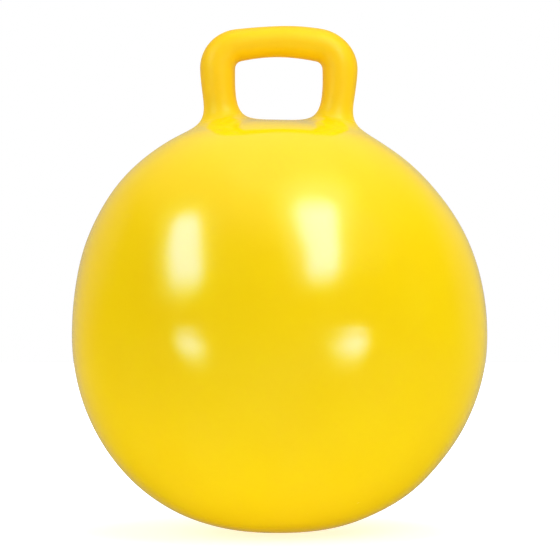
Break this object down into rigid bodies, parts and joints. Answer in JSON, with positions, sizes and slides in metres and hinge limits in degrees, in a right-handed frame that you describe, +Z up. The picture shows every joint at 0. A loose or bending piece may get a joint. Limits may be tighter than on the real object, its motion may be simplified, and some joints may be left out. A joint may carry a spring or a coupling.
{
  "type": "hopper ball",
  "caption": "Inflated bouncing seat for a child: a round soft skin with a closed ring handle on its crown and a plug valve at the back.",
  "frame": {"origin": "middle of the flat patch that the ball rests on", "axes": "+Z up through the crown and the handle, +X along the handle's bar, +Y towards the valve at the back"},
  "size_m": [0.45, 0.45, 0.5482],
  "materials": {
    "skin_vinyl": "glossy soft vinyl, lemon yellow",
    "handle_vinyl": "glossy soft vinyl, warm yellow where the wall is thick",
    "valve_vinyl": "satin moulded vinyl",
    "plug_vinyl": "satin off-white vinyl"
  },
  "bodies": {
    "ball": {"ball_skin": "skin_vinyl", "handle_ring": "handle_vinyl", "valve_body": "valve_vinyl"},
    "plug": {"valve_plug": "plug_vinyl"}
  },
  "joints": [
    {"name": "plug_pull", "type": "slide", "parent": "ball", "child": "plug", "axis": [0, 0.848, 0.5299], "range_m": [0, 0.022]}
  ]
}
